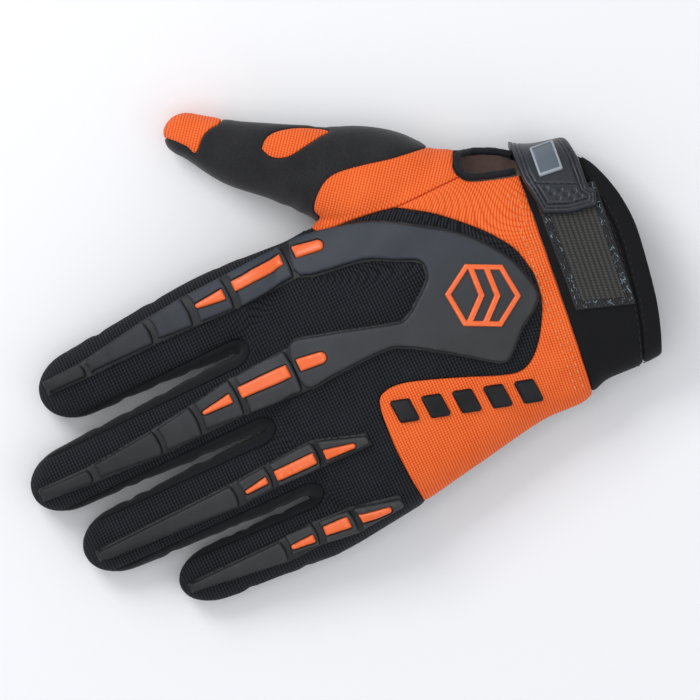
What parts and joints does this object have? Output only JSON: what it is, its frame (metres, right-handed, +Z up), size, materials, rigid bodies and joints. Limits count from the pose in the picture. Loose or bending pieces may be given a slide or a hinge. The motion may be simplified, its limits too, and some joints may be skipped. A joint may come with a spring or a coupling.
{
  "type": "motocross glove",
  "caption": "Left-hand full-finger motocross glove in black and orange cloth, with moulded rubber armour on the back, a suede palm and a strap across the open wrist.",
  "frame": {"origin": "middle of the bounding box's bottom, on the surface that the glove lies on", "axes": "+Y towards the fingertips, +X towards the thumb, +Z up out of the back of the hand"},
  "size_m": [0.17, 0.2362, 0.0406],
  "materials": {
    "rib_knit": "ribbed stretch knit, black",
    "finger_knit": "smooth stretch knit, black",
    "suede": "synthetic suede, black",
    "orange_knit": "ribbed stretch knit, orange",
    "neoprene": "neoprene with a smooth jersey face, black",
    "binding": "folded binding tape, black",
    "loop_fastener": "loop fastener tape, dark grey",
    "armour": "moulded rubber, satin dark grey",
    "inlay": "moulded rubber, orange",
    "side_bar": "moulded rubber, glossy black",
    "strap_plate": "printed plate, silver grey"
  },
  "bodies": {
    "root": {"back_panel": "rib_knit", "strip_index_middle": "finger_knit", "strip_middle_ring": "finger_knit", "strip_ring_little": "finger_knit", "palm_panel": "suede", "wrist_panel": "orange_knit", "thumb_gusset": "orange_knit", "thumb_shell": "suede", "thumb_tip": "orange_knit", "thumb_patch": "orange_knit", "cuff": "neoprene", "cuff_hem": "neoprene", "slot_binding": "binding", "loop_patch": "loop_fastener", "wrist_strap": "armour", "strap_plate": "strap_plate", "armour_hand": "armour", "armour_ring": "armour", "armour_little": "armour", "emblem": "inlay", "bar_index_1": "inlay", "bar_index_2": "inlay", "bar_index_3": "inlay", "bar_middle_1": "inlay", "bar_middle_2": "inlay", "bar_middle_3": "inlay", "bar_ring_1": "inlay", "bar_ring_2": "inlay", "bar_ring_3": "inlay", "bar_little_1": "inlay", "bar_little_2": "inlay", "bar_little_3": "inlay", "side_bar_1": "side_bar", "side_bar_2": "side_bar", "side_bar_3": "side_bar", "side_bar_4": "side_bar", "side_bar_5": "side_bar"}
  },
  "joints": []
}
